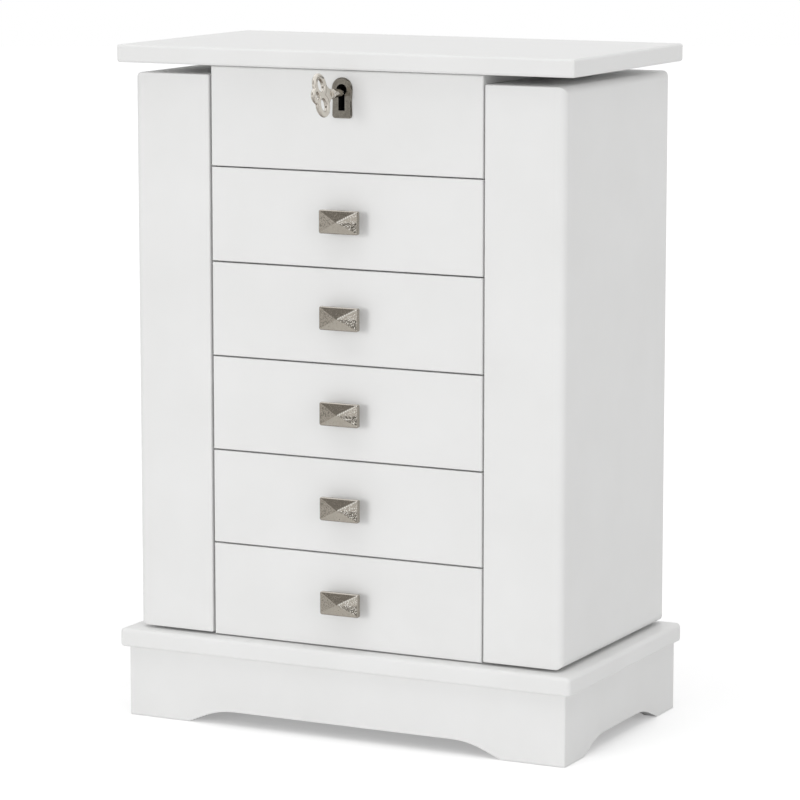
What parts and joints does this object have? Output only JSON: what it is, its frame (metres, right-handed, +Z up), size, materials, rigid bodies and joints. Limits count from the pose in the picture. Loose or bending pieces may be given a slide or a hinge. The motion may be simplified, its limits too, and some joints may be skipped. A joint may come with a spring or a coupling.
{
  "type": "jewelry chest with lid mirror",
  "caption": "Tabletop jewelry chest: drawers between swing-out necklace doors, bracket-foot base, flip-up mirrored lid with a small key lock.",
  "frame": {"origin": "centre of the bounding box in plan, on the surface that the feet stand on", "axes": "+Z up, drawers and key face -Y, +X to the viewer's right"},
  "size_m": [0.327, 0.2126, 0.445],
  "materials": {
    "white_paint": "satin white paint on fibreboard",
    "raw_wood": "planed, unpainted softwood",
    "lined_board": "fibreboard under grey flock",
    "velvet": "short grey velvet",
    "felt": "pressed white felt",
    "antique_nickel": "cast, antiqued nickel",
    "bright_nickel": "polished nickel plate",
    "plated_steel": "nickel-plated sheet steel",
    "magnet": "ground sintered magnet, plated",
    "mirror": "silvered float glass, bevelled edge"
  },
  "bodies": {
    "carcass": {"skirt_front": "white_paint", "skirt_back": "white_paint", "skirt_left": "white_paint", "skirt_right": "white_paint", "corner_blocks": "raw_wood", "base_board": "white_paint", "side_panel_left": "white_paint", "side_panel_right": "white_paint", "back_panel": "white_paint", "tray_floor": "lined_board", "front_panel": "white_paint", "drawer_runners": "raw_wood", "escutcheon": "antique_nickel", "lock_case": "plated_steel", "ring_rolls": "velvet", "tray_dividers": "lined_board", "carcass_hinge_leaves": "plated_steel", "hinge_pins": "plated_steel", "carcass_screws": "plated_steel", "lid_bumpers": "felt"},
    "bolt": {"lock_bolt": "plated_steel"},
    "key": {"key": "bright_nickel"},
    "lid": {"lid_board": "white_paint", "mirror_glass": "mirror", "lid_hinge_leaves": "plated_steel", "strike_plate": "plated_steel", "lid_screws": "plated_steel"},
    "door_right": {"door_right_panel": "white_paint", "door_right_front_stile": "white_paint", "door_right_rear_stile": "white_paint", "door_right_rails": "white_paint", "door_right_hooks": "bright_nickel", "door_right_pocket": "velvet", "door_right_hinge_leaves": "plated_steel", "door_right_magnets": "magnet", "door_right_screws": "plated_steel"},
    "door_left": {"door_left_panel": "white_paint", "door_left_front_stile": "white_paint", "door_left_rear_stile": "white_paint", "door_left_rails": "white_paint", "door_left_hooks": "bright_nickel", "door_left_pocket": "velvet", "door_left_hinge_leaves": "plated_steel", "door_left_magnets": "magnet", "door_left_screws": "plated_steel"},
    "drawer_1": {"drawer_1_front": "white_paint", "drawer_1_box": "white_paint", "drawer_1_knob": "antique_nickel"},
    "drawer_2": {"drawer_2_front": "white_paint", "drawer_2_box": "white_paint", "drawer_2_knob": "antique_nickel"},
    "drawer_3": {"drawer_3_front": "white_paint", "drawer_3_box": "white_paint", "drawer_3_knob": "antique_nickel"},
    "drawer_4": {"drawer_4_front": "white_paint", "drawer_4_box": "white_paint", "drawer_4_knob": "antique_nickel"},
    "drawer_5": {"drawer_5_front": "white_paint", "drawer_5_box": "white_paint", "drawer_5_knob": "antique_nickel"}
  },
  "joints": [
    {"name": "lid_hinge", "type": "hinge", "parent": "carcass", "child": "lid", "pos_m": [0, 0.1027, 0.433], "axis": [-1, 0, 0], "range_deg": [0, 97]},
    {"name": "door_right_hinge", "type": "hinge", "parent": "carcass", "child": "door_right", "pos_m": [0.0977, 0.1027, 0.244], "axis": [0, 0, 1], "range_deg": [0, 110]},
    {"name": "door_left_hinge", "type": "hinge", "parent": "carcass", "child": "door_left", "pos_m": [-0.0977, 0.1027, 0.244], "axis": [0, 0, -1], "range_deg": [0, 110]},
    {"name": "drawer_1_slide", "type": "slide", "parent": "carcass", "child": "drawer_1", "axis": [0, -1, 0], "range_m": [0, 0.11]},
    {"name": "drawer_2_slide", "type": "slide", "parent": "carcass", "child": "drawer_2", "axis": [0, -1, 0], "range_m": [0, 0.11]},
    {"name": "drawer_3_slide", "type": "slide", "parent": "carcass", "child": "drawer_3", "axis": [0, -1, 0], "range_m": [0, 0.11]},
    {"name": "drawer_4_slide", "type": "slide", "parent": "carcass", "child": "drawer_4", "axis": [0, -1, 0], "range_m": [0, 0.11]},
    {"name": "drawer_5_slide", "type": "slide", "parent": "carcass", "child": "drawer_5", "axis": [0, -1, 0], "range_m": [0, 0.11]},
    {"name": "key_turn", "type": "hinge", "parent": "carcass", "child": "key", "pos_m": [-0.0015, -0.0667, 0.4188], "axis": [0, -1, 0], "range_deg": [-11, 169]},
    {"name": "bolt_slide", "type": "slide", "parent": "carcass", "child": "bolt", "axis": [1, 0, 0], "range_m": [-0.0004, 0.006]}
  ],
  "couplings": [
    {"joint": "bolt_slide", "follows": "key_turn", "m_per_rad": 0.0019099}
  ]
}
